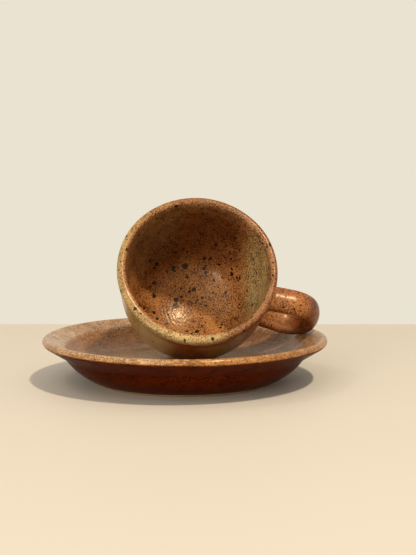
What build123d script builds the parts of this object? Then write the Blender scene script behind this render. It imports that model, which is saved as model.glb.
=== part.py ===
from build123d import *
import os
from math import acos, atan2, cos, degrees, hypot, radians, sin, sqrt

# A stoneware coffee cup that lies on its side in its saucer, in millimetres.
# The origin is the centre of the saucer's foot, on the table, with +Z up.
# The cup's mouth opens towards -Y, and its handle points towards +X.

# The saucer
saucer_diameter = 150.0
saucer_height = 23.7
saucer_lip_thickness = 4.2
flange_width = 12.0  # from the outside of the lip to the edge of the well
flange_fall = 3.7  # from the top of the lip down to the edge of the well
flange_thickness = 6.6
neck_step = 0.6  # how far the neck underneath stands outside the edge of the well
neck_round = 2.5
well_edge_round = 3.0
well_wall_run = 20.0  # how far the sloping wall of the well reaches inwards
floor_height = 9.5
belly_bulge = 1.9
saucer_foot_diameter = 91.0
saucer_foot_width = 4.5
saucer_foot_slope = 2.5  # how far the inside of the foot leans
saucer_recess = 4.0
foot_round = 0.8

# The bowl of the cup: a ball up to its middle, then a wall that opens slightly to the rim
bowl_diameter = 80.4
bowl_wall = 4.0
rim_rise = 20.6  # from the middle of the ball to the top of the rim
rim_flare = 1.5  # how far the rim stands outside the ball
rim_thickness = 4.2
floor_thickness = 4.5
floor_round = 20.0
cup_foot_diameter = 45.6
cup_foot_height = 6.9
cup_foot_width = 4.0
cup_foot_slope = 1.2
cup_recess = 2.5
foot_join_round = 2.5

# The handle: one strap of oval section, bent into a loop
handle_width = 14.2
handle_thickness = 7.2
handle_loop_diameter = 26.6  # along the middle of the strap
handle_reach = 11.4  # from the side of the ball to the middle of the loop
handle_drop = 13.2  # from the middle of the ball down to the middle of the loop
lower_arm_lean = 22.0  # degrees, how far the lower arm turns back up to the bowl

# The slip that is pressed round each root of the handle
slip_height = 3.0
slip_spread = 2.2
slip_edge = 0.5

# How the cup lies
rest_gap = 0.35
cup_aside = 5.1
cup_back = 3.6
cup_turn = 4.9  # degrees, how far the mouth turns to the right
steepest_roll = -60.0

# Sizes that follow from these
saucer_radius = saucer_diameter / 2
saucer_lip_radius = saucer_lip_thickness / 2
well_radius = saucer_radius - flange_width
well_edge_height = saucer_height - flange_fall
neck_radius = well_radius + neck_step
neck_height = well_edge_height - flange_thickness
floor_radius = well_radius - well_wall_run
saucer_foot_radius = saucer_foot_diameter / 2
saucer_foot_inside = saucer_foot_radius - saucer_foot_width

bowl_radius = bowl_diameter / 2
inside_radius = bowl_radius - bowl_wall
rim_radius = bowl_radius + rim_flare
rim_roll = rim_thickness / 2
cup_foot_radius = cup_foot_diameter / 2
cup_foot_inside = cup_foot_radius - cup_foot_width
foot_join = -sqrt(bowl_radius**2 - cup_foot_radius**2)
foot_base = foot_join - cup_foot_height
recess_base = foot_base + cup_recess
inside_floor = recess_base + floor_thickness
inside_floor_radius = sqrt(inside_radius**2 - inside_floor**2)

loop_radius = handle_loop_diameter / 2
loop_out = bowl_radius + handle_reach
root_radius = bowl_radius - bowl_wall / 2

# The cup leans until the edge of its foot and the side of its bowl are on one level
foot_corner = hypot(foot_base, cup_foot_radius)
cup_lean = degrees(atan2(-foot_base, cup_foot_radius) - acos(bowl_radius / foot_corner))
cup_centre = Vector(cup_aside, cup_back, floor_height + rest_gap + bowl_radius)
mouth = Vector(0, -1, 0).rotate(Axis.X, -cup_lean).rotate(Axis.Z, cup_turn)
level_side = Vector(1, 0, 0).rotate(Axis.Z, cup_turn)
cup_axis = Axis(cup_centre, mouth)


def handle_direction(roll):
    """The way the handle points once the cup is rolled about its own axis."""
    return level_side.rotate(Axis((0, 0, 0), mouth), roll)


def flange_height(radius):
    """The height of the top of the flange, whose slope is carried on inwards and outwards."""
    slope = flange_fall / (flange_width - saucer_lip_radius)
    return well_edge_height + slope * (radius - well_radius)


def handle_clearance(roll):
    """The least height of the handle's loop above the flange, at one roll of the cup."""
    out = handle_direction(roll)
    across = mouth.cross(out)
    loop_centre = cup_centre + out * loop_out - mouth * handle_drop
    clearances = []
    for around_loop in range(-90, 91, 5):
        ray = out * cos(radians(around_loop)) + mouth * sin(radians(around_loop))
        for around_strap in range(0, 360, 10):
            side = across * (handle_width / 2 * sin(radians(around_strap)))
            thickness = ray * (handle_thickness / 2 * cos(radians(around_strap)))
            point = loop_centre + ray * loop_radius + thickness + side
            clearances.append(point.Z - flange_height(hypot(point.X, point.Y)))
    return min(clearances)


# The cup rolls on its side until the handle comes down on the flange
rolled_too_far = steepest_roll
rolled_enough = 0.0
for halving in range(20):
    middle_roll = (rolled_too_far + rolled_enough) / 2
    if handle_clearance(middle_roll) > rest_gap:
        rolled_enough = middle_roll
    else:
        rolled_too_far = middle_roll
handle_out = handle_direction(rolled_enough)

# The cup's own plane: X along the handle, Y along the cup's axis to the mouth
cup_plane = Plane(cup_centre, x_dir=handle_out, z_dir=handle_out.cross(mouth))


def corner(sketch, point):
    """The corner of a sketch that lies at a given point."""
    return sketch.vertices().sort_by_distance(point)[0]


def touching(point, centre, radius, side):
    """Where a line from a point touches a circle, on the side of the given sign."""
    back = point - centre
    turn = side * degrees(acos(radius / back.length))
    return centre + back.normalized().rotate(Axis.Z, turn) * radius


def square_to_wall(reach, centre):
    """The way square to a wall that runs past two circles, one of them about the origin.

    reach is how far the second circle's centre lies beyond the first one, along that way.
    """
    return centre.normalized().rotate(Axis.Z, -degrees(acos(reach / centre.length)))


# Saucer, one turned piece: foot, belly, flange, rolled lip and well
neck = Vector(neck_radius, neck_height)
well_edge = Vector(well_radius, well_edge_height)
lip_centre = Vector(saucer_radius - saucer_lip_radius, saucer_height - saucer_lip_radius)
lip_under = touching(neck, lip_centre, saucer_lip_radius, 1)
lip_over = touching(well_edge, lip_centre, saucer_lip_radius, -1)
with BuildPart() as saucer:
    with BuildSketch(Plane.XZ) as saucer_section:
        with BuildLine():
            Line(neck, lip_under)
            ThreePointArc(lip_under, (saucer_radius, lip_centre.Y), lip_over)
            Line(lip_over, well_edge)
            TangentArc((floor_radius, floor_height), well_edge, tangent=(1, 0))
            Polyline(
                (floor_radius, floor_height),
                (0, floor_height),
                (0, saucer_recess),
                (saucer_foot_inside - saucer_foot_slope, saucer_recess),
                (saucer_foot_inside, 0),
                (saucer_foot_radius, 0),
            )
            SagittaArc((saucer_foot_radius, 0), neck, -belly_bulge)
        make_face()
        fillet(corner(saucer_section, neck), neck_round)
        fillet(corner(saucer_section, well_edge), well_edge_round)
        fillet(corner(saucer_section, (saucer_foot_radius, 0)), foot_round)
        fillet(corner(saucer_section, (saucer_foot_inside, 0)), foot_round)
    revolve(axis=Axis.Z)
saucer.part.label = "saucer"

# Bowl of the cup, one turned piece with its foot ring
rim_centre = Vector(rim_radius - rim_roll, rim_rise - rim_roll)
out_of_wall = square_to_wall(bowl_radius - rim_roll, rim_centre)
into_wall = square_to_wall(inside_radius + rim_roll, rim_centre)
rim_outside = rim_centre + out_of_wall * rim_roll
rim_inside = rim_centre - into_wall * rim_roll
foot_top = Vector(cup_foot_radius, foot_join)
floor_edge = Vector(inside_floor_radius, inside_floor)
with BuildPart() as cup_bowl:
    with BuildSketch(cup_plane) as bowl_section:
        with BuildLine():
            RadiusArc(foot_top, out_of_wall * bowl_radius, -bowl_radius)
            Line(out_of_wall * bowl_radius, rim_outside)
            ThreePointArc(rim_outside, (rim_centre.X, rim_rise), rim_inside)
            Line(rim_inside, into_wall * inside_radius)
            RadiusArc(into_wall * inside_radius, floor_edge, inside_radius)
            Polyline(
                foot_top,
                (cup_foot_radius, foot_base),
                (cup_foot_inside, foot_base),
                (cup_foot_inside - cup_foot_slope, recess_base),
                (0, recess_base),
                (0, inside_floor),
                floor_edge,
            )
        make_face()
        fillet(corner(bowl_section, foot_top), foot_join_round)
        fillet(corner(bowl_section, floor_edge), floor_round)
        fillet(corner(bowl_section, (cup_foot_radius, foot_base)), foot_round)
        fillet(corner(bowl_section, (cup_foot_inside, foot_base)), foot_round)
    revolve(axis=cup_axis)
cup_bowl.part.label = "cup_bowl"

# The handle's path in the cup's plane: out of the wall, round the loop and back to the wall
loop_centre = Vector(loop_out, -handle_drop)
upper_root = (root_radius, loop_radius - handle_drop)
upper_turn = (loop_out, loop_radius - handle_drop)
lower_angle = -90 - lower_arm_lean
lower_turn = loop_centre + Vector(loop_radius, 0).rotate(Axis.Z, lower_angle)
lower_way = Vector(-1, 0).rotate(Axis.Z, -lower_arm_lean)


def arm_length(radius):
    """The length of the lower arm from the loop to a ball of a given radius."""
    along = -lower_turn.dot(lower_way)
    return along - sqrt(along**2 - lower_turn.length**2 + radius**2)


lower_root = lower_turn + lower_way * arm_length(root_radius)

# Handle, a strap of oval section whose ends are cut to the bowl
with BuildPart() as cup_handle:
    with BuildLine(cup_plane) as handle_path:
        Line(upper_root, upper_turn)
        CenterArc((loop_centre.X, loop_centre.Y), loop_radius, 90, lower_angle - 90)
        Line((lower_turn.X, lower_turn.Y), (lower_root.X, lower_root.Y))
    strap = handle_path.line
    with BuildSketch(Plane(strap @ 0, x_dir=cup_plane.z_dir, z_dir=strap % 0)):
        Ellipse(handle_width / 2, handle_thickness / 2)
    sweep()
    add(cup_bowl.part, mode=Mode.SUBTRACT)
cup_handle.part.label = "cup_handle"


def slip_collar(root, way, length):
    """A collar of slip round one arm, from inside the wall out to a thin edge."""
    wide = (handle_width / 2 + slip_spread, handle_thickness / 2 + slip_spread)
    narrow = (handle_width / 2 + slip_edge, handle_thickness / 2 + slip_edge)
    with BuildPart() as collar:
        with BuildSketch(Plane(root, x_dir=cup_plane.z_dir, z_dir=way)):
            Ellipse(*wide)
        with BuildSketch(Plane(root + way * length, x_dir=cup_plane.z_dir, z_dir=way)):
            Ellipse(*narrow)
        loft()
        add(cup_handle.part, mode=Mode.SUBTRACT)
        add(cup_bowl.part, mode=Mode.SUBTRACT)
    return collar


# Slip pressed round the handle's two roots
upper_wall = sqrt(bowl_radius**2 - upper_root[1] ** 2) - root_radius
lower_wall = arm_length(root_radius) - arm_length(bowl_radius)
handle_slip_upper = slip_collar(strap @ 0, strap % 0, upper_wall + slip_height)
handle_slip_upper.part.label = "handle_slip_upper"
handle_slip_lower = slip_collar(strap @ 1, -(strap % 1), lower_wall + slip_height)
handle_slip_lower.part.label = "handle_slip_lower"

os.makedirs("parts", exist_ok=True)
export_step(saucer.part, "parts/saucer.step")
export_step(cup_bowl.part, "parts/cup_bowl.step")
export_step(cup_handle.part, "parts/cup_handle.step")
export_step(handle_slip_upper.part, "parts/handle_slip_upper.step")
export_step(handle_slip_lower.part, "parts/handle_slip_lower.step")
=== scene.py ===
from math import acos, asin, atan2, cos, pi, radians, sin, tau

import bmesh
import bpy
from mathutils import Matrix, Vector, geometry, noise
from mathutils.bvhtree import BVHTree


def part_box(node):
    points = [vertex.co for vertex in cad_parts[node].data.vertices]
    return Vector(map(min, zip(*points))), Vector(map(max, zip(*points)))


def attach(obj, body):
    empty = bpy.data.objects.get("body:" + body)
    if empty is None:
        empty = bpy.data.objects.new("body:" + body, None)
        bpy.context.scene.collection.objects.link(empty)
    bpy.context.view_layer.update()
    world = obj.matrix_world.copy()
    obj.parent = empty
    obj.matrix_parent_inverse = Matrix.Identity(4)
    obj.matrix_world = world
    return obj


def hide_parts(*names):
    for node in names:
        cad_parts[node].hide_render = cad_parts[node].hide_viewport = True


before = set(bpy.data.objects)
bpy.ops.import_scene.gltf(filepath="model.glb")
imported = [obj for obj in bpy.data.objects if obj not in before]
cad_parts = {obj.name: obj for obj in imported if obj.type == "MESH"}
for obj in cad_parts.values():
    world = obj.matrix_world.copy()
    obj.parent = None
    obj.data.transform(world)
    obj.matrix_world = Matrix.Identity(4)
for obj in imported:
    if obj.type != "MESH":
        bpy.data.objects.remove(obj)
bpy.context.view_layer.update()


# The saucer is one piece of stoneware, thrown and turned on the wheel: a foot ring, a belly,
# a flange that slopes up to a rolled lip, and a round well. Its iron glaze is tan on the
# flange, orange brown on the lip and belly, and grey brown where it pooled in the well. Painted
# shade darkens the belly, and painted light makes the flange and lip paler on the left.
saucer_low, saucer_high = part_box("saucer")
saucer_radius = (saucer_high[0] - saucer_low[0]) / 2
saucer_height = saucer_high[2]
saucer_lip_roll = 0.0021
flange_width = 0.012
well_radius = saucer_radius - flange_width
well_edge_height = saucer_height - 0.0037
neck_radius = well_radius + 0.0006
neck_height = well_edge_height - 0.0066
well_floor_radius = well_radius - 0.020
well_floor_height = 0.0095
belly_bulge = 0.0019
saucer_foot_radius = 0.0455
saucer_foot_inside = saucer_foot_radius - 0.0045
saucer_recess = 0.004
saucer_recess_radius = saucer_foot_inside - 0.0025
outline_step = 0.0005
steps_round = 160


def arc(middle, radius, first, last, height=1):
    """Points along an arc of an outline, which may be made higher than it is wide."""
    count = max(4, round(abs(last - first) * radius / outline_step))
    angles = [first + (last - first) * k / count for k in range(count + 1)]
    return [middle + radius * Vector((cos(angle), height * sin(angle))) for angle in angles]


def angle_of(way):
    """The angle of a way in an outline."""
    return atan2(way.y, way.x)


def worn(corners, times):
    """An outline at even steps, with its sharp corners worn round."""
    points = []
    for start, end in zip(corners, corners[1:]):
        count = max(1, round((end - start).length / outline_step))
        points += [start.lerp(end, k / count) for k in range(count)]
    points.append(corners[-1])
    for _ in range(times):
        inner = [(a + 2 * b + c) / 4 for a, b, c in zip(points, points[1:], points[2:])]
        points = [points[0]] + inner + [points[-1]]
    return points


def turned(outline):
    """A form turned on the wheel, from an outline of radius and height about the Z axis."""
    form = bmesh.new()
    chain = [form.verts.new((point.x, 0, point.y)) for point in outline]
    edges = [form.edges.new(pair) for pair in zip(chain, chain[1:])]
    bmesh.ops.spin(
        form, geom=chain + edges, axis=(0, 0, 1), cent=(0, 0, 0), angle=tau,
        steps=steps_round, use_merge=True, use_duplicate=False,
    )
    bmesh.ops.remove_doubles(form, verts=form.verts, dist=1e-6)
    bmesh.ops.recalc_face_normals(form, faces=form.faces)
    return form


def worked_by_hand(form, depth, width, seed):
    """Moves a form's surface in and out a little, as hands and tools leave it."""
    form.normal_update()
    moves = [
        vert.normal * depth * noise.noise(vert.co / width + Vector((seed, 0, 0)))
        for vert in form.verts
    ]
    for vert, move in zip(form.verts, moves):
        vert.co += move


def finished(form, name, body):
    """The form as a smooth piece that rides on a body."""
    mesh = bpy.data.meshes.new(name)
    form.to_mesh(mesh)
    form.free()
    mesh.polygons.foreach_set("use_smooth", [True] * len(mesh.polygons))
    piece = bpy.data.objects.new(name, mesh)
    bpy.context.scene.collection.objects.link(piece)
    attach(piece, body)
    return piece


class Tone:
    """An output of a finish's nodes, which adds and multiplies as a number does."""

    def __init__(self, finish, socket):
        self.finish = finish
        self.socket = socket

    def __add__(self, other):
        return self.finish.maths("ADD", self, other)

    def __radd__(self, other):
        return self.finish.maths("ADD", other, self)

    def __sub__(self, other):
        return self.finish.maths("SUBTRACT", self, other)

    def __rsub__(self, other):
        return self.finish.maths("SUBTRACT", other, self)

    def __mul__(self, other):
        return self.finish.maths("MULTIPLY", self, other)

    def __rmul__(self, other):
        return self.finish.maths("MULTIPLY", other, self)

    def __truediv__(self, other):
        return self.finish.maths("DIVIDE", self, other)

    def __pow__(self, other):
        return self.finish.maths("POWER", self, other)


class Finish:
    """The nodes of a material, or of the room round the pair."""

    def __init__(self, owner):
        self.owner = owner
        self.owner.use_nodes = True
        self.tree = owner.node_tree
        self.tree.nodes.clear()

    def node(self, kind, settings, sockets, output=0):
        """Adds a node with its settings, then the values or links of its sockets."""
        made = self.tree.nodes.new("ShaderNode" + kind)
        for name, value in settings.items():
            setattr(made, name, value)
        for name, value in sockets.items():
            if isinstance(value, Tone):
                self.tree.links.new(value.socket, made.inputs[name])
            else:
                made.inputs[name].default_value = value
        return Tone(self, made.outputs[output]) if made.outputs else None

    def maths(self, operation, first, second=0.0):
        """A sum on two values."""
        return self.node("Math", {"operation": operation}, {0: first, 1: second})

    def step(self, value, low, high):
        """0 up to a low value, 1 from a high one, and smooth between them."""
        sockets = {"Value": value, "From Min": low, "From Max": high}
        return self.node("MapRange", {"interpolation_type": "SMOOTHSTEP"}, sockets)

    def mixed(self, share, first, second, blend="MIX"):
        """Two colours mixed, by the share of the second."""
        settings = {"data_type": "RGBA", "blend_type": blend}
        return self.node("Mix", settings, {0: share, 6: first, 7: second}, 2)

    def cloud(self, place, size, detail=2.0, roughness=0.5, output="Fac"):
        """Soft noise in patches of a size."""
        sockets = {"Vector": place, "Scale": 1 / size, "Detail": detail, "Roughness": roughness}
        return self.node("TexNoise", {}, sockets, output)

    def scattered(self, place, spacing, largest, share):
        """Spots of iron at a share of the places that lie a spacing apart."""
        cells = {"Vector": place, "Scale": 1 / spacing}
        distance = self.node("TexVoronoi", {}, cells, "Distance")
        chances = self.node("TexVoronoi", {}, cells, "Color")
        size = self.node("SeparateColor", {}, {0: chances}, 0)
        there = self.node("SeparateColor", {}, {0: chances}, 1)
        ragged = self.cloud(place, largest * 0.7) * 0.9 + 0.55
        radius = (size**2 * 0.7 + 0.3) * (largest / spacing) * ragged
        spot = self.step(distance / radius, 1.1, 0.7)
        return spot * self.maths("LESS_THAN", there, share)

    def glazed(self, place, ground, dark, spots, bare, relief, shine, grain_size=0.00078):
        """A satin glaze: a ground colour, a darker grain in it, iron spots and bare clay."""
        grain = self.cloud(place, grain_size, 3.0, 0.75)
        patch = self.cloud(place, patch_size, 3.0, 0.55)
        shade = self.step(grain * 0.8 + patch * 0.2, 0.45, 0.57)
        base = self.mixed(shade, ground, dark)
        base = self.mixed(spots * 0.97, base, iron)
        base = self.mixed(bare, base, bare_clay)
        height = relief + grain * 0.06 + spots * 0.15
        bump = self.node("Bump", {}, {"Strength": 1.0, "Distance": glaze_depth, "Height": height})
        gloss = {
            "Base Color": base,
            "Roughness": grain * 0.16 + 0.145 + bare * 0.35 + shade * 0.06,
            "Normal": bump,
            "IOR": shine,
            "Specular Tint": warm_gleam,
        }
        shader = self.node("BsdfPrincipled", {}, gloss)
        self.node("OutputMaterial", {}, {"Surface": shader})
        return self.owner


def colour(red, green, blue):
    """A colour given as a screen shows it, from 0 to 255, as the shader takes it."""
    shares = [value / 255 for value in (red, green, blue)]
    return (*[s / 12.92 if s <= 0.04045 else ((s + 0.055) / 1.055) ** 2.4 for s in shares], 1)


glaze_depth = 0.0003
patch_size = 0.008
iron = colour(16, 12, 12)
warm_gleam = colour(255, 232, 196)
bare_clay = colour(206, 172, 124)
saucer_tan = colour(189, 149, 107)
# Painted light: a paler tan for the left of the flange and lip, where more light fell.
lit_pale_tan = colour(208, 172, 132)
lip_orange = colour(194, 139, 82)
wall_brown = colour(168, 115, 69)
well_grey = colour(172, 131, 72)
well_middle_tan = colour(216, 184, 140)
# Painted shade: the belly's brown is darkened for the shade under the flange.
shaded_belly_brown = colour(84, 30, 2)
mottle_brown = colour(206, 182, 158)
saucer_grain = colour(146, 120, 98)
belly_grain = colour(140, 104, 70)
saucer_ring_spacing = 0.0026


def saucer_glaze():
    """The saucer's glaze, which changes from the lip to the well."""
    finish = Finish(bpy.data.materials.new("saucer_iron_glaze"))
    place = finish.node("TexCoord", {}, {}, "Object")
    x, y, z = [finish.node("SeparateXYZ", {}, {0: place}, axis) for axis in range(3)]
    radius = (x * x + y * y) ** 0.5
    drift = (finish.cloud(place, 0.013) - 0.5) * 0.006
    edge = radius + drift
    out_of_well = finish.step(edge, well_floor_radius - 0.004, well_floor_radius + 0.009)
    on_flange = finish.step(radius + drift * 0.3, well_radius - 0.002, well_radius + 0.001)
    on_lip = finish.step(radius + drift * 0.3, saucer_radius - 0.0035, saucer_radius - 0.0018)
    ground = finish.mixed(out_of_well, well_grey, wall_brown)
    # Painted light: the flange and lip turn paler towards the left, where more light fell on
    # them.
    lit_left = finish.step(drift - x - y * 0.6, 0.030, 0.065)
    ground = finish.mixed(on_flange, ground, finish.mixed(lit_left, saucer_tan, lit_pale_tan))
    lip = finish.mixed(lit_left * 0.6, lip_orange, lit_pale_tan)
    ground = finish.mixed(on_lip, ground, lip)
    mottle = finish.step(finish.cloud(place, 0.0026, 3.0, 0.7), 0.46, 0.64)
    middle = finish.step(drift - y, -0.042, -0.028) * (1 - out_of_well)
    ground = finish.mixed(middle * 0.5, ground, well_middle_tan)
    brown = finish.mixed(1.0, ground, mottle_brown, "MULTIPLY")
    ground = finish.mixed(mottle * (0.5 + on_flange * 0.3), ground, brown)
    dark = finish.mixed(1.0, ground, saucer_grain, "MULTIPLY")
    spots = finish.scattered(place, spacing=0.008, largest=0.0011, share=0.3)
    wander = finish.cloud(place, 0.020) * 3.0
    rings = finish.maths("SINE", radius * (tau / saucer_ring_spacing) + wander) * (1 - on_flange)
    relief = finish.cloud(place, 0.0020, 1.0, 0.4) * 0.55 + rings * 0.07
    return finish.glazed(place, ground, dark, spots, 0.0, relief, 1.42, 0.0007)


def belly_glaze():
    """The thinner glaze under the saucer, darkened with painted shade, and wiped off at the foot.
    """
    finish = Finish(bpy.data.materials.new("saucer_belly_glaze"))
    place = finish.node("TexCoord", {}, {}, "Object")
    z = finish.node("SeparateXYZ", {}, {0: place}, 2)
    drift = (finish.cloud(place, 0.013) - 0.5) * 0.006
    lip = finish.step(z + drift * 0.2, saucer_height - 0.0036, saucer_height - 0.0022)
    ground = finish.mixed(lip, shaded_belly_brown, lip_orange)
    dark = finish.mixed(1.0, ground, belly_grain, "MULTIPLY")
    spots = finish.scattered(place, spacing=0.010, largest=0.0009, share=0.25)
    bare = finish.step(z + drift * 0.06, 0.0018, 0.0012)
    relief = finish.cloud(place, 0.0030, 1.0, 0.4) * 0.3
    return finish.glazed(place, ground, dark, spots, bare, relief, 1.08)


saucer_foot_edge = Vector((saucer_foot_radius, 0))
neck = Vector((neck_radius, neck_height))
half_belly = (neck - saucer_foot_edge) / 2
belly_radius = (half_belly.length**2 + belly_bulge**2) / (2 * belly_bulge)
belly_inward = Vector((-half_belly.y, half_belly.x)).normalized()
belly_middle = saucer_foot_edge + half_belly + belly_inward * (belly_radius - belly_bulge)
well_edge = Vector((well_radius, well_edge_height))
well_rise = well_edge - Vector((well_floor_radius, well_floor_height))
well_wall_radius = well_rise.length**2 / (2 * well_rise.y)
well_wall_middle = Vector((well_floor_radius, well_floor_height + well_wall_radius))
lip_middle = Vector((saucer_radius - saucer_lip_roll, saucer_height - saucer_lip_roll))
from_neck = neck - lip_middle
from_well = well_edge - lip_middle
lip_start = angle_of(from_neck) + acos(saucer_lip_roll / from_neck.length)
lip_end = angle_of(from_well) - acos(saucer_lip_roll / from_well.length)

saucer_outline = [
    Vector((0, saucer_recess)),
    Vector((saucer_recess_radius, saucer_recess)),
    Vector((saucer_foot_inside, 0)),
]
saucer_outline += arc(
    belly_middle, belly_radius,
    angle_of(saucer_foot_edge - belly_middle), angle_of(neck - belly_middle),
)
saucer_outline += arc(lip_middle, saucer_lip_roll, lip_start, lip_end % tau)
saucer_outline += arc(
    well_wall_middle, well_wall_radius, angle_of(well_edge - well_wall_middle), -pi / 2
)
saucer_outline.append(Vector((0, well_floor_height)))
saucer_form = turned(worn(saucer_outline, 3))
worked_by_hand(saucer_form, depth=0.0003, width=0.035, seed=3)
for vert in saucer_form.verts:
    vert.co.z = max(vert.co.z, 0)
saucer = finished(saucer_form, "saucer_turned", "saucer")
saucer.data.materials.append(saucer_glaze())
saucer.data.materials.append(belly_glaze())
neck_hollow = 0.0008
lip_glaze_depth = 0.0025
for face in saucer.data.polygons:
    beyond_neck = Vector(face.center[:2]).length > neck_radius + neck_hollow
    outside = face.normal.z < -0.05 and face.center.z < lip_middle.y
    under_lip = face.center.z < saucer_height - lip_glaze_depth or not beyond_neck
    face.material_index = int(outside and under_lip)
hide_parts("saucer")


# The bowl of the cup is thrown too: a ball below, a wall that opens a little to a rounded rim,
# and a foot ring. It lies on its side in the saucer. Its glaze is rust brown with spots of
# iron inside, olive down the sides, and ochre on the rim.
bowl_radius = 0.0394
bowl_depth = 0.0430
rim_roll = 0.0021
rim_middle = Vector((0.0396, 0.0191))
inside_radius = 0.0360
rim_thicker = 0.0013
thick_side = Vector((-0.55, -0.83, 0))
cup_foot_radius = 0.0228
cup_foot_inside = cup_foot_radius - 0.004
cup_recess_radius = cup_foot_inside - 0.0012
foot_join = -0.0345
foot_base = -0.0400
cup_recess = foot_base + 0.0025
inside_floor = cup_recess + 0.0045
cup_middle = Vector((0.0054, 0.0036, 0.05005))
cup_turn = radians(4.9)
mouth_tilt = radians(31.13)
handle_drop = radians(11.74)
cup_place = (
    Matrix.Translation(cup_middle)
    @ Matrix.Rotation(cup_turn, 4, "Z")
    @ Matrix.Rotation(pi / 2 - mouth_tilt, 4, "X")
    @ Matrix.Rotation(-handle_drop, 4, "Z")
)
rust = colour(184, 124, 67)
# Painted shade: a darker brown for the upper side of the cup's inside.
painted_shade_brown = colour(108, 61, 29)
outside_brown = colour(168, 97, 32)
rim_brown = colour(155, 111, 73)
ochre = colour(172, 136, 86)
pale_ochre = colour(212, 184, 122)
olive = colour(194, 170, 110)
low_brown = colour(128, 66, 14)
run_brown = colour(136, 72, 20)
tan_below_rim = colour(176, 138, 84)
edge_rust = colour(146, 80, 42)
inner_rust = colour(176, 112, 72)
outer_olive = colour(182, 158, 104)
outside_grain = colour(154, 122, 98)
inside_grain = colour(126, 92, 68)
white = colour(255, 255, 255)
bowl_ring_spacing = 0.0018
large_spots = (
    (0.0002, 0.0364, 0.0057, 0.00049), (-0.0012, 0.0350, -0.0088, 0.00054),
    (-0.0171, 0.0338, 0.0198, 0.00065), (0.0107, 0.0336, -0.0074, 0.00054),
    (0.0070, 0.0325, -0.0141, 0.00076), (0.0165, 0.0320, -0.0006, 0.00081),
    (0.0055, 0.0285, -0.0238, 0.00059), (0.0021, 0.0283, -0.0247, 0.00059),
    (0.0165, 0.0274, -0.0175, 0.00054), (-0.0142, 0.0270, -0.0209, 0.00070),
    (0.0108, 0.0262, -0.0247, 0.00054), (0.0031, 0.0255, -0.0275, 0.00043),
    (0.0029, 0.0241, -0.0284, 0.00070), (0.0180, 0.0238, -0.0222, 0.00054),
    (-0.0077, 0.0233, -0.0282, 0.00124), (0.0280, 0.0225, -0.0029, 0.00054),
    (0.0043, 0.0223, -0.0294, 0.00065), (0.0185, 0.0217, -0.0244, 0.00092),
    (0.0305, 0.0208, 0.0134, 0.00054), (0.0344, 0.0206, 0.0211, 0.00070),
    (-0.0141, 0.0206, -0.0278, 0.00081), (0.0139, 0.0203, -0.0282, 0.00049),
    (0.0353, 0.0202, 0.0209, 0.00049), (0.0216, 0.0195, -0.0234, 0.00059),
    (-0.0129, 0.0194, -0.0289, 0.00054), (0.0233, 0.0188, -0.0219, 0.00059),
    (0.0094, 0.0187, -0.0301, 0.00054), (0.0300, 0.0186, -0.0073, 0.00054),
    (-0.0232, 0.0185, -0.0221, 0.00086), (-0.0055, 0.0179, -0.0308, 0.00065),
    (-0.0172, 0.0179, -0.0279, 0.00043), (-0.0267, 0.0173, -0.0170, 0.00070),
    (-0.0239, 0.0165, -0.0233, 0.00065), (0.0170, 0.0124, -0.0300, 0.00059),
    (-0.0005, 0.0121, -0.0324, 0.00092), (-0.0281, 0.0116, -0.0205, 0.00054),
    (-0.0394, 0.0110, 0.0204, 0.00054), (0.0379, 0.0106, 0.0211, 0.00043),
    (-0.0028, 0.0105, -0.0326, 0.00070), (-0.0228, 0.0097, -0.0279, 0.00070),
    (0.0048, 0.0082, -0.0328, 0.00065), (-0.0067, 0.0065, -0.0328, 0.00059),
    (-0.0094, 0.0040, -0.0327, 0.00097), (-0.0377, 0.0036, 0.0205, 0.00059),
    (-0.0215, 0.0028, -0.0297, 0.00092), (0.0321, 0.0016, -0.0166, 0.00076),
    (-0.0091, 0.0007, -0.0328, 0.00119), (-0.0123, -0.0058, -0.0321, 0.00049),
    (-0.0282, -0.0063, -0.0238, 0.00049), (-0.0255, -0.0067, -0.0269, 0.00065),
    (-0.0199, -0.0069, -0.0300, 0.00076), (0.0176, -0.0087, -0.0304, 0.00049),
    (-0.0175, -0.0100, -0.0303, 0.00076), (-0.0119, -0.0116, -0.0313, 0.00054),
    (0.0052, -0.0127, -0.0319, 0.00097), (-0.0363, -0.0203, 0.0195, 0.00065),
    (-0.0255, -0.0263, 0.0202, 0.00059), (-0.0274, -0.0287, 0.0210, 0.00076),
    (0.0137, -0.0375, 0.0211, 0.00065), (0.0002, -0.0405, 0.0208, 0.00043),
)


def cup_finish(name):
    """A finish and its place in the cup's own frame, whose Z axis comes out of its mouth."""
    finish = Finish(bpy.data.materials.new(name))
    place = finish.node("TexCoord", {}, {}, "Object")
    sockets = {"Vector": place, "Location": cup_middle, "Rotation": cup_place.to_euler()}
    return finish, finish.node("Mapping", {"vector_type": "TEXTURE"}, sockets)


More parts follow.
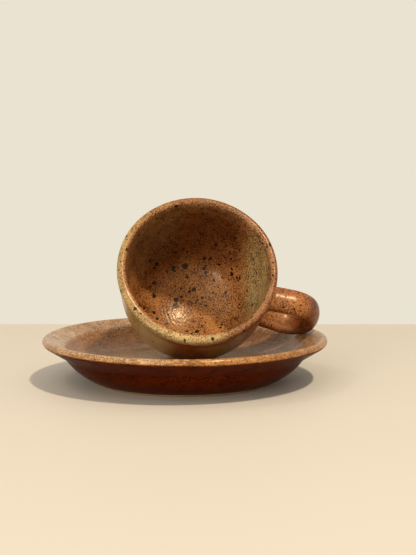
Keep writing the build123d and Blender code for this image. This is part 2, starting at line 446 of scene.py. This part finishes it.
def bowl_glaze():
    """The bowl's glaze: rust inside with painted shade above, olive on two sides, and ochre rim.
    """
    finish, place = cup_finish("cup_iron_glaze")
    x, y, z = [finish.node("SeparateXYZ", {}, {0: place}, axis) for axis in range(3)]
    drift = (finish.cloud(place, 0.014) - 0.5) * 0.012
    whole = finish.node("TexCoord", {}, {}, "Object")
    normal = finish.node("TexCoord", {}, {}, "Normal")
    subtract = {"operation": "SUBTRACT"}
    from_middle = finish.node("VectorMath", subtract, {0: whole, 1: cup_middle})
    product = {"operation": "DOT_PRODUCT"}
    outward = finish.node("VectorMath", product, {0: from_middle, 1: normal}, "Value")
    inside = finish.step(outward, 0.004, -0.020)
    outside = 1 - inside
    radius = (x * x + y * y) ** 0.5
    wander = finish.cloud(place, 0.010, 3.0) * 14.0
    rings = finish.maths("SINE", radius * (tau / bowl_ring_spacing) + wander) * inside

    # Painted shade: a darker brown on the inside's uppermost side, where shade fell. Brown also
    # lies low on the outside.
    shaded_side = finish.maths("MAXIMUM", 0.94 * y - 0.17 * x, 0.88 * y - 0.45 * x)
    shaded_side = shaded_side + drift * 0.4
    ground = finish.mixed(inside, outside_brown, rust)
    ground = finish.mixed(finish.step(shaded_side, 0.014, 0.031) * inside, ground, painted_shade_brown)
    below = finish.step(drift * 0.7 + 0.2 * x - 0.98 * y, 0.025, 0.033) * outside
    ground = finish.mixed(below * 0.85, ground, low_brown)

    # Olive on both sides inside, and on both sides of the brown outside.
    low_side = -0.85 * x - 0.53 * y
    right = finish.step(0.98 * x + 0.2 * y + drift * 0.6, 0.0255, 0.0325) * inside
    left = finish.step(drift - 0.85 * x + 0.5 * y, 0.026, 0.037) * inside * 0.3
    low_left = finish.step(low_side + drift * 0.7, 0.022, 0.031) * outside
    low_right = finish.step(drift * 0.7 + 0.75 * x - 0.66 * y, 0.032, 0.037) * outside
    green = finish.maths("MAXIMUM", right, left)
    green = finish.maths("MAXIMUM", green, low_left)
    green = finish.maths("MAXIMUM", green, low_right * 0.45)
    ground = finish.mixed(green * 0.92, ground, olive)

    # A paler band inside below the rim, and a brown run of glaze outside below it.
    below_rim = finish.step(z + drift * 0.3, 0.0090, 0.0150) * inside
    # The pale band is mostly left out on the upper side, where the painted shade lies.
    below_rim = below_rim * (1 - finish.step(shaded_side, 0.010, 0.030) * 0.75)
    ground = finish.mixed(below_rim * 0.6, ground, tan_below_rim)
    lowest = finish.step(0.25 * x - 0.97 * y + drift, 0.026, 0.036)
    run_off = finish.step(z + drift * 0.4, 0.0115, 0.0140) * outside * lowest
    ground = finish.mixed(run_off * 0.5, ground, run_brown)

    # The rim: ochre on the low side and brown on the other, with rust along its edges.
    rim = finish.step(z + drift * 0.25, 0.0165, 0.0190)
    golden = finish.step(low_side + drift, -0.012, 0.020)
    gold = finish.mixed(lowest, ochre, pale_ochre)
    ground = finish.mixed(rim * 0.9, ground, finish.mixed(golden, rim_brown, gold))
    roll = radius - rim_middle.x
    edge = finish.step(roll + (z - rim_middle.y) * 0.5, 0.0012, 0.0022) * (1 - golden)
    ground = finish.mixed(edge * rim * 0.7, ground, edge_rust)
    inner_edge = finish.step(roll, -0.0006, -0.0018) * golden
    ground = finish.mixed(inner_edge * rim * 0.6, ground, inner_rust)
    outer_edge = finish.step(roll, 0.0002, 0.0016) * golden
    ground = finish.mixed(outer_edge * rim * 0.6, ground, outer_olive)
    grain = finish.mixed(inside, outside_grain, inside_grain)
    grain = finish.mixed(low_left * 0.2, grain, white)
    dark = finish.mixed(1.0, ground, grain, "MULTIPLY")

    # Iron spots: the large ones at their places, and small ones scattered, most of them inside.
    nearest = 9.0
    for *centre, spot_radius in large_spots:
        distance = {"operation": "DISTANCE"}
        apart = finish.node("VectorMath", distance, {0: place, 1: centre}, "Value")
        nearest = finish.maths("MINIMUM", apart / (spot_radius * 1.45), nearest)
    ragged = finish.cloud(place, 0.0007) * 1.5 + 0.25
    spots = finish.step(nearest / ragged, 1.1, 0.75)
    crowded = finish.step(finish.cloud(place, 0.02), 0.3, 0.7) * inside + rim * 0.4 + 0.45
    small = finish.scattered(place, spacing=0.0026, largest=0.00085, share=crowded * 0.7)
    spots = finish.maths("MAXIMUM", spots, small)
    bare = finish.step(z + drift * 0.05, foot_base + 0.0009, foot_base + 0.0004)
    relief = finish.cloud(place, 0.0015, 1.0, 0.4) * 0.32 + rings * 0.035
    return finish.glazed(place, ground, dark, spots, bare, relief, 1.31)


outer_wall_angle = angle_of(rim_middle) - acos((bowl_radius - rim_roll) / rim_middle.length)
inner_wall_angle = angle_of(rim_middle) - acos((inside_radius + rim_roll) / rim_middle.length)
wall_end = radians(-22)
dish_radius = 0.066
dish_edge = 0.0200
dish_bottom = inside_floor - 0.0005
bowl_outline = [
    Vector((0, cup_recess)),
    Vector((cup_recess_radius, cup_recess)),
    Vector((cup_foot_inside, foot_base)),
    Vector((cup_foot_radius, foot_base)),
]
bowl_outline.append(Vector((cup_foot_radius, foot_join)))
bowl_outline += arc(
    Vector((0, 0)), bowl_radius, asin(foot_join / bowl_depth), 0, bowl_depth / bowl_radius
)
bowl_outline += arc(Vector((0, 0)), bowl_radius, 0, outer_wall_angle)
bowl_outline += arc(rim_middle, rim_roll, outer_wall_angle, pi + inner_wall_angle)
bowl_outline += arc(Vector((0, 0)), inside_radius, inner_wall_angle, wall_end)
wall_foot = inside_radius * Vector((cos(wall_end), sin(wall_end)))
wall_way = Vector((sin(wall_end), -cos(wall_end)))
dish_middle = Vector((0, dish_bottom + dish_radius))
dish_angle = asin(dish_edge / dish_radius)
dish_rise = dish_middle + dish_radius * Vector((sin(dish_angle), -cos(dish_angle)))
dish_way = Vector((-cos(dish_angle), -sin(dish_angle)))
bowl_outline += geometry.interpolate_bezier(
    wall_foot, wall_foot + 0.007 * wall_way, dish_rise - 0.010 * dish_way, dish_rise, 36
)
bowl_outline += arc(dish_middle, dish_radius, dish_angle - pi / 2, -pi / 2)
bowl_form = turned(worn(bowl_outline, 3))
worked_by_hand(bowl_form, depth=0.0003, width=0.03, seed=8)
thicker_from = -0.004
thicker_height = 0.020
thicker_edge = rim_middle.x + 0.0015
thicker_width = 0.003
for vert in bowl_form.verts:
    aside = Vector((vert.co.x, vert.co.y, 0))
    near_rim = min(max((vert.co.z - thicker_from) / thicker_height, 0), 1)
    within = min(max((thicker_edge - aside.length) / thicker_width, 0), 1)
    if near_rim * within > 0:
        thicker = max(0, aside.normalized().dot(thick_side))
        vert.co -= aside.normalized() * rim_thicker * thicker * near_rim**2 * within
bowl_surface = BVHTree.FromBMesh(bowl_form)
bmesh.ops.transform(bowl_form, matrix=cup_place, verts=bowl_form.verts)
cup_bowl = finished(bowl_form, "cup_bowl_thrown", "cup")
cup_bowl.data.materials.append(bowl_glaze())
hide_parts("cup_bowl")


# The handle is a strap of clay of oval section, bent round into a loop for one finger. Its two
# ends are stuck to the bowl with slip, which is drawn out over the wall round each root.
strap_half_width = 0.0071
strap_half_thickness = 0.0036
loop_radius = 0.0133
loop_middle = Vector((0.0516, 0, -0.0132))
lower_arm_lean = radians(22)
strap_sides = 64
loop_steps = 90
arm_step = 0.0008
slip_height = 0.0032
slip_spread = 0.0026
slip_steps = 10
slip_smoothings = 12
root_depth = 0.0012
handle_rust = colour(178, 109, 62)
handle_gold = colour(200, 150, 84)
# Painted sheen: a pale tan put on the lower arm's top as a highlight.
sheen_tan = colour(232, 162, 110)
loop_end_brown = colour(120, 62, 24)
handle_grain = colour(112, 80, 58)


def handle_glaze():
    """The handle's glaze: rust, darker where it ran thick at the loop's end, and painted sheen.
    """
    finish, place = cup_finish("handle_iron_glaze")
    x, y, z = [finish.node("SeparateXYZ", {}, {0: place}, axis) for axis in range(3)]
    drift = (finish.cloud(place, 0.010) - 0.5) * 0.012
    thick = finish.step(x - z * 0.4 + drift, 0.054, 0.066)
    golden = finish.step(y + drift, 0.004, -0.003)
    ground = finish.mixed(golden * 0.25, handle_rust, handle_gold)
    # Painted sheen: the upward-facing top of the lower arm is painted pale tan, with paler grain.
    normal = finish.node("TexCoord", {}, {}, "Normal")
    upward = finish.node("SeparateXYZ", {}, {0: normal}, 2)
    sheen_on_lower_arm = finish.step(drift * 0.3 - z, 0.018, 0.024) * finish.step(upward, -0.4, 0.2)
    ground = finish.mixed(sheen_on_lower_arm * 0.7, ground, sheen_tan)
    ground = finish.mixed(thick * 0.85, ground, loop_end_brown)
    grain = finish.mixed(sheen_on_lower_arm * 0.5, handle_grain, white)
    dark = finish.mixed(1.0, ground, grain, "MULTIPLY")
    spots = finish.scattered(place, spacing=0.0030, largest=0.0008, share=0.5)
    relief = finish.cloud(place, 0.0030, 1.0, 0.4) * 0.35
    return finish.glazed(place, ground, dark, spots, 0.0, relief, 1.37)


def section_ring(form):
    """The ring of edges of the strap's section at the top of the loop."""
    place = (
        Matrix.Translation(loop_middle + Vector((0, 0, loop_radius)))
        @ Matrix.Rotation(pi / 2, 4, "Y")
        @ Matrix.Diagonal((strap_half_thickness, strap_half_width, 1, 1))
    )
    bmesh.ops.create_circle(form, segments=strap_sides, radius=1, matrix=place)
    return list(form.edges)


def drawn_out(form, ring, move):
    """Extrudes a ring of edges by a move and returns the new ring."""
    new = bmesh.ops.extrude_edge_only(form, edges=ring)["geom"]
    verts = [item for item in new if isinstance(item, bmesh.types.BMVert)]
    bmesh.ops.translate(form, vec=move, verts=verts)
    return [item for item in new if isinstance(item, bmesh.types.BMEdge)]


def verts_of(ring):
    """The vertices of a ring of edges."""
    return list({vert for edge in ring for vert in edge.verts})


def to_wall(point, way):
    """How far a point is from the bowl's wall along a way."""
    back = 0.02
    distance = bowl_surface.ray_cast(point - way * back, way)[3]
    return distance - back


def arm(form, ring, way):
    """An arm from the loop to the bowl, which ends in slip drawn out over the wall."""
    middle = sum((vert.co for vert in verts_of(ring)), Vector()) / strap_sides
    length = min(to_wall(vert.co, way) for vert in verts_of(ring)) - slip_height
    count = max(2, round(length / arm_step))
    for _ in range(count):
        ring = drawn_out(form, ring, way * length / count)
    last_spread = 0
    slip = verts_of(ring)
    for k in range(1, slip_steps + 1):
        bend = pi / 2 * k / slip_steps
        spread = slip_spread * (1 - cos(bend))
        ring = drawn_out(form, ring, Vector())
        for vert in verts_of(ring):
            aside = vert.co - middle
            aside = (aside - aside.dot(way) * way).normalized()
            vert.co += aside * (spread - last_spread) * (1 - 0.3 * aside.y**2)
            last_fall = sin(bend - pi / 2 / slip_steps)
            vert.co += way * to_wall(vert.co, way) * (sin(bend) - last_fall) / (1 - last_fall)
        last_spread = spread
        slip += verts_of(ring)
    ring = drawn_out(form, ring, way * root_depth)
    bmesh.ops.edgeloop_fill(form, edges=ring)
    for _ in range(slip_smoothings):
        bmesh.ops.smooth_vert(
            form, verts=slip, factor=0.5, use_axis_x=True, use_axis_y=True, use_axis_z=True
        )


strap_form = bmesh.new()
upper_ring = section_ring(strap_form)
spun = bmesh.ops.spin(
    strap_form, geom=upper_ring + strap_form.verts[:], axis=(0, 1, 0), cent=loop_middle,
    angle=pi + lower_arm_lean, steps=loop_steps, use_merge=False, use_duplicate=False,
)
lower_ring = [item for item in spun["geom_last"] if isinstance(item, bmesh.types.BMEdge)]
arm(strap_form, upper_ring, Vector((-1, 0, 0)))
arm(strap_form, lower_ring, Vector((-cos(lower_arm_lean), 0, sin(lower_arm_lean))))
bmesh.ops.recalc_face_normals(strap_form, faces=strap_form.faces)
worked_by_hand(strap_form, depth=0.0003, width=0.012, seed=5)
bmesh.ops.transform(strap_form, matrix=cup_place, verts=strap_form.verts)
handle = finished(strap_form, "handle_strap", "cup")
handle.data.materials.append(handle_glaze())
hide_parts("cup_handle", "handle_slip_upper", "handle_slip_lower")


# The pair stands on a plain pale floor before a pale background, in soft light from above. The
# camera has a long lens and looks a little down on the saucer.
camera_data = bpy.data.cameras.new("camera")
camera_data.lens = 81.08
camera_data.sensor_width = 36
camera = bpy.data.objects.new("camera", camera_data)
camera.location = (0.0122, -0.6533, 0.1259)
looks_down = radians(6.25)
camera.rotation_euler = (pi / 2 - looks_down, 0, 0)
bpy.context.scene.collection.objects.link(camera)
bpy.context.scene.camera = camera
bpy.context.scene.view_settings.view_transform = "Standard"
lamp_distance = 2.0


def lamp(name, way, size, power, tint):
    """A square lamp well away from the pair, which faces it."""
    data = bpy.data.lights.new(name, "AREA")
    data.size = size
    data.energy = power
    data.color = tint
    light = bpy.data.objects.new(name, data)
    light.location = cup_middle + lamp_distance * Vector(way).normalized()
    light.visible_camera = False
    light.rotation_euler = Vector(way).to_track_quat("Z", "Y").to_euler()
    bpy.context.scene.collection.objects.link(light)


lamp("lamp_right", (0.294, -0.419, 0.859), 0.11, 26.4, (1.0, 0.90, 0.74))
lamp("lamp_left", (-0.50, -0.15, 0.85), 0.22, 2.6, (1.0, 0.95, 0.88))
lamp("softbox", (-0.38, -0.78, 0.50), 1.64, 16.5, (1.0, 0.97, 0.93))
lamp("window", (-0.45, -0.885, 0.13), 0.44, 8.0, (0.86, 0.93, 1.0))

floor_back = 0.2
floor_size = 3
floor_form = bmesh.new()
bmesh.ops.create_grid(
    floor_form, x_segments=1, y_segments=1, size=floor_size,
    matrix=Matrix.Translation((0, floor_back - floor_size, 0)),
)
floor_mesh = bpy.data.meshes.new("floor")
floor_form.to_mesh(floor_mesh)
floor_form.free()
floor = bpy.data.objects.new("floor", floor_mesh)
bpy.context.scene.collection.objects.link(floor)
floor_finish = Finish(bpy.data.materials.new("pale_floor"))
floor_paint = {"Base Color": colour(214, 202, 184), "Roughness": 0.6}
floor_shader = floor_finish.node("BsdfPrincipled", {}, floor_paint)
floor_finish.node("OutputMaterial", {}, {"Surface": floor_shader})
floor.data.materials.append(floor_finish.owner)

room = Finish(bpy.data.worlds.new("studio"))
seen = room.node("LightPath", {}, {}, "Is Camera Ray")
for ray in ("Is Glossy Ray", "Is Transmission Ray"):
    seen = room.maths("MAXIMUM", seen, room.node("LightPath", {}, {}, ray))
light_of_room = room.node("Background", {}, {"Color": colour(250, 244, 234), "Strength": 0.45})
look_of_room = room.node("Background", {}, {"Color": colour(234, 227, 209), "Strength": 1.0})
around = room.node("MixShader", {}, {0: seen, 1: light_of_room, 2: look_of_room})
room.node("OutputWorld", {}, {"Surface": around})
bpy.context.scene.world = room.owner
